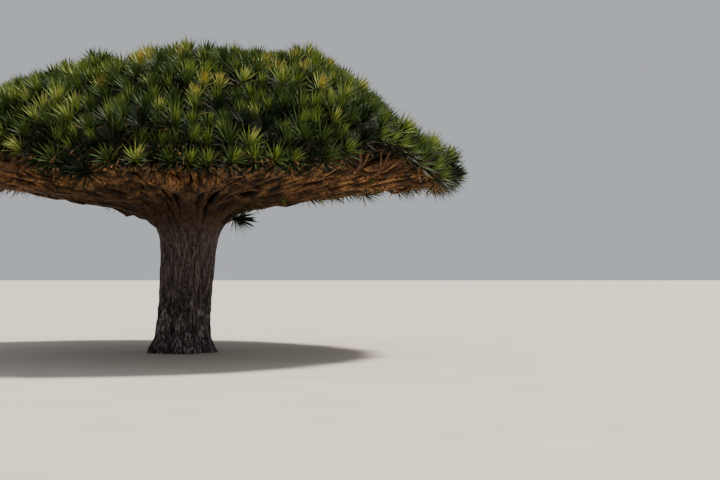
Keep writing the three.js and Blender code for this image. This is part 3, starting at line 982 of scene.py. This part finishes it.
def leaf_mesh(name, leaves, keep):
    """A mesh of sword leaves, each a keeled blade of a few faces that runs out to a point."""
    root = leaves["root"][keep]
    heading = leaves["heading"][keep]
    across = leaves["across"][keep]
    length = leaves["length"][keep][:, None]
    full_width = leaves["width"][keep][:, None]
    sag = leaves["sag"][keep][:, None]
    upper = np.cross(across, heading)
    down = np.array((0.0, 0.0, -1.0))

    def along(s):
        return root + length * (s * heading + sag * s**2 * down)

    rows = []
    for s, width in LEAF_SECTIONS:
        middle = along(s)
        half = 0.5 * width * full_width
        rows += [middle - half * across, middle + half * across, middle + 2 * LEAF_KEEL * half * upper]
    rows.append(along(1.0))
    points = np.stack(rows, axis=1)
    faces = []
    for section in range(len(LEAF_SECTIONS) - 1):
        low, high = 3 * section, 3 * section + 3
        for k in range(3):
            j = (k + 1) % 3
            faces += [(low + k, low + j, high + j), (low + k, high + j, high + k)]
    last = 3 * len(LEAF_SECTIONS) - 3
    tip = last + 3
    faces += [(last, last + 1, tip), (last + 1, last + 2, tip), (last + 2, last, tip)]
    base = np.arange(len(root))[:, None, None] * points.shape[1]
    all_faces = (np.array(faces)[None, :, :] + base).reshape(-1, 3)
    mesh = bpy.data.meshes.new(name)
    mesh.from_pydata(points.reshape(-1, 3).tolist(), [], all_faces.tolist())
    return mesh


def tint_of(leaves):
    """The tint of each leaf, by its rosette's mix and its place from heart to skirt, with the mix
    pushed lighter up the crown as painted light and darker down it as painted shade.
    """
    tone = draw(leaves["seed"] * TONE_SEED["pitch"] + TONE_SEED["shift"])
    # Painted light up the crown, painted shade down it
    tone = np.clip(tone + PAINTED_LIGHT_BY_HEIGHT["rise"] * (leaves["height"] - PAINTED_LIGHT_BY_HEIGHT["height"]), 0, 1)
    mixes = np.searchsorted([limit for limit, _ in MIXES], tone)
    bands = np.searchsorted(TINT_BANDS, leaves["share"])
    names = np.array([mix for _, mix in MIXES])
    tints = names[np.minimum(mixes, len(MIXES) - 1), bands]
    return np.where(leaves["share"] > SKIRT_SHARE, "dry", tints)


def add_leaves(leaves, mass_nodes):
    tints = tint_of(leaves)
    triangles = 6 * (len(LEAF_SECTIONS) - 1) + 3
    for tint, colour in TINTS.items():
        rows = np.flatnonzero(tints == tint)
        pieces = ceil(len(rows) * triangles / PIECE_TRIANGLES)
        material = leaf_material(tint, colour)
        for number, part in enumerate(np.array_split(rows, max(pieces, 1))):
            name = f"leaves_{tint}_{number + 1}"
            mesh = leaf_mesh(name, leaves, part)
            dress(add_object(name, mesh), material, mass_nodes)


def add_twigs(name, twigs, material, nodes):
    mesh = mesh_of(name, [twig_chunk(*twig) for twig in twigs])
    mesh.shade_smooth()
    dress(add_object(name, mesh), material, nodes)


def joined(*groups):
    """The rows of several groups of leaves as one."""
    return {key: np.concatenate([group[key] for group in groups]) for key in groups[0]}


def dress(obj, material, nodes):
    """Gives a piece its material and its body, and hides the nodes that it stands for."""
    obj.data.materials.clear()
    obj.data.materials.append(material)
    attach(obj, "root")
    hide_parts(*nodes)


class Shader:
    """A short way to add linked nodes to a material."""

    def __init__(self, name):
        self.material = bpy.data.materials.new(name)
        self.material.use_nodes = True
        self.tree = self.material.node_tree
        self.surface = self.tree.nodes["Principled BSDF"]

    def add(self, kind, **inputs):
        node = self.tree.nodes.new(kind)
        for key, value in inputs.items():
            self.set(node, key.replace("_", " "), value)
        return node

    def set(self, node, key, value):
        socket = node.inputs[key]
        if isinstance(value, bpy.types.NodeSocket):
            self.tree.links.new(value, socket)
        else:
            socket.default_value = value

    def place(self):
        return self.add("ShaderNodeTexCoord").outputs["Object"]

    def bearing(self, place):
        """Which way a place lies from the trunk's axis, so that a pattern on it runs outward."""
        start = self.add("ShaderNodeMapping", Vector=place, Location=(-LEAN, 0, 0), Scale=(1, 1, 0))
        way = self.tree.nodes.new("ShaderNodeVectorMath")
        way.operation = "NORMALIZE"
        self.tree.links.new(start.outputs["Vector"], way.inputs[0])
        return way.outputs["Vector"]

    def noise(self, place, stretch, scale, detail):
        mapping = self.add("ShaderNodeMapping", Vector=place, Scale=stretch)
        stretched = mapping.outputs["Vector"]
        node = self.add("ShaderNodeTexNoise", Vector=stretched, Scale=scale, Detail=detail)
        return node.outputs["Fac"]

    def span(self, value, low, high, to_low=0.0, to_high=1.0):
        node = self.add("ShaderNodeMapRange", Value=value)
        node.inputs["From Min"].default_value = low
        node.inputs["From Max"].default_value = high
        node.inputs["To Min"].default_value = to_low
        node.inputs["To Max"].default_value = to_high
        return node.outputs["Result"]

    def mix(self, factor, a, b):
        node = self.tree.nodes.new("ShaderNodeMix")
        node.data_type = "RGBA"
        self.tree.links.new(factor, node.inputs["Factor"])
        for key, value in zip(MIX_INPUTS, (a, b)):
            socket = isinstance(value, bpy.types.NodeSocket)
            self.set(node, key, value if socket else (*value, 1))
        return node.outputs[MIX_OUTPUT]

    def blend(self, value, span, a, b):
        """One colour turning to another over a span of a value."""
        return self.mix(self.span(value, *span), a, b)

    def multiply(self, a, b):
        node = self.tree.nodes.new("ShaderNodeMath")
        node.operation = "MULTIPLY"
        self.tree.links.new(a, node.inputs[0])
        self.tree.links.new(b, node.inputs[1])
        return node.outputs["Value"]

    def finish(self, colour, bump, strength, distance, roughness, specular):
        self.set(self.surface, "Base Color", colour)
        self.surface.inputs["Roughness"].default_value = roughness
        self.surface.inputs["Specular IOR Level"].default_value = specular
        node = self.add("ShaderNodeBump", Height=bump, Strength=strength, Distance=distance)
        self.set(self.surface, "Normal", node.outputs["Normal"])
        return self.material


def leaf_material(tint, colour):
    shader = Shader(f"leaf_{tint}")
    place = shader.place()
    patches = shader.noise(place, *LEAF_NOISES["patches"])
    fibres = shader.noise(place, *LEAF_NOISES["fibres"])
    dark, light = (tuple(shade * part for part in colour) for shade in LEAF_SHADES)
    shade = shader.blend(patches, LEAF_SPAN, dark, light)
    return shader.finish(shade, fibres, **LEAF_FINISH)


def grey_bark(shader, noises, height):
    """Streaked bark with dark lines, and pale and dark specks in blots on its foot."""
    grey = shader.blend(noises["streaks"], GREY["streak_span"], GREY["dark"], GREY["light"])
    grey = shader.blend(noises["lines"], GREY["line_span"], grey, GREY["line"])
    foot = shader.span(height, *FOOT_SPAN)
    for kind in FOOT_SPECKS:
        specks = shader.multiply(shader.span(noises["specks"], *kind["speck_span"]), foot)
        share = shader.multiply(specks, shader.span(noises["blots"], *kind["blot_span"]))
        grey = shader.mix(share, grey, kind["colour"])
    return grey


def brown_bark(shader, noises, kind):
    """Patchy bark with dark ribs and scales."""
    brown = shader.blend(noises["patches"], kind["patch_span"], kind["dark"], kind["light"])
    brown = shader.blend(noises["ribs"], kind["rib_span"], brown, kind["rib"])
    return shader.blend(noises["scales"], kind["scale_span"], brown, kind["scale"])


def bark_material():
    """Grey bark on the trunk, dark brown painted shade on its head and the inner underside,
    orange-brown with painted light out towards the rim, and near-black painted shade high up inside the
    crown.
    """
    shader = Shader("bark")
    place = shader.place()
    height = shader.add("ShaderNodeSeparateXYZ", Vector=place).outputs["Z"]
    noises = {name: shader.noise(place, *row) for name, row in BARK_NOISES.items()}
    noises["ribs"] = shader.noise(shader.bearing(place), *RIB_NOISE)

    # The same brown bark as painted shade near the head and as painted light out towards the rim
    shaded_brown = brown_bark(shader, noises, SHADED_BROWN)
    lit_brown = brown_bark(shader, noises, LIT_ORANGE_BROWN)
    wood = shader.blend(height, SHADE_TO_LIGHT_SPAN, shaded_brown, lit_brown)
    # Painted shade on the wood high up inside the crown
    wood = shader.blend(height, CROWN_SHADE_SPAN, wood, CROWN_SHADE_COLOUR)
    wood = shader.blend(height, HEAD_SPAN, grey_bark(shader, noises, height), wood)
    bump = shader.blend(noises["grain"], GRAIN_SPAN, noises["streaks"], noises["grain"])
    bump = shader.blend(height, SCALE_BUMP_SPAN, bump, noises["scales"])
    return shader.finish(wood, bump, **BARK_FINISH)


def twig_material():
    shader = Shader("twig_bark")
    place = shader.place()
    patches = shader.noise(place, *TWIG_NOISES["patches"])
    scars = shader.noise(place, *TWIG_NOISES["scars"])
    brown = shader.blend(patches, TWIG_PATCH_SPAN, *TWIG_BROWNS)
    wood = shader.blend(scars, TWIG_SCAR_SPAN, TWIG_SCAR, brown)
    return shader.finish(wood, scars, **TWIG_FINISH)


def floor_material():
    shader = Shader("floor")
    grain = shader.noise(shader.place(), *FLOOR_NOISE)
    tone = shader.blend(grain, FLOOR_SPAN, *FLOOR_TONES)
    return shader.finish(tone, grain, **FLOOR_FINISH)


def add_stage():
    """Plain pale floor, soft light and a camera at the photograph's viewing angle."""
    corners = [(FLOOR_HALF * x, FLOOR_HALF * y, 0) for x, y in ((-1, -1), (1, -1), (1, 1), (-1, 1))]
    mesh = bpy.data.meshes.new("floor")
    mesh.from_pydata(corners, [], [(0, 1, 2, 3)])
    mesh.materials.append(floor_material())
    add_object("floor", mesh)

    world = bpy.data.worlds.new("studio")
    world.use_nodes = True
    background = world.node_tree.nodes["Background"]
    background.inputs["Color"].default_value = SKY["colour"]
    background.inputs["Strength"].default_value = SKY["strength"]
    bpy.context.scene.world = world

    lamp = bpy.data.lights.new("sun", "SUN")
    lamp.energy = SUN["energy"]
    lamp.angle = radians(SUN["angle"])
    lamp.color = SUN["colour"]
    sun = add_object("sun", lamp)
    sun.rotation_euler = Vector(SUN["toward"]).to_track_quat("Z", "Y").to_euler()

    view = bpy.data.cameras.new("camera")
    view.lens = CAMERA["lens"]
    view.sensor_width = CAMERA["sensor"]
    view.clip_end = CAMERA["far"]
    camera = add_object("camera", view)
    camera.location = CAMERA["place"]
    camera.rotation_euler = (radians(CAMERA["pitch"]), 0, 0)
    bpy.context.scene.camera = camera


def build():
    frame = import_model()
    add_stage()

    masses = sorted(name for name in frame["nodes"] if "leaves" in name)
    boughs = sorted(name for name in frame["nodes"] if "bough" in name or "limb" in name)

    bark = bark_mesh()
    material = bark_material()
    dress(add_object("trunk_wood", trunk_mesh(bark)), material, ["trunk"])
    crown_wood = part_of(bark, "bough_wood", lambda c: c.z >= TRUNK_TOP)
    dress(add_object("bough_wood", crown_wood), material, boughs)

    growth = crown()
    add_twigs("twigs", growth.twigs, twig_material(), masses)
    for name, branches in growth.layers.items():
        add_twigs(name, branches, material, boughs)
    leaves = joined(
        rosette_leaves(growth.rosettes, ROSETTE),
        rosette_leaves(growth.tufts, TUFT),
        rosette_leaves([sprout()], SPROUT_TUFT),
    )
    add_leaves(leaves, masses)


build()
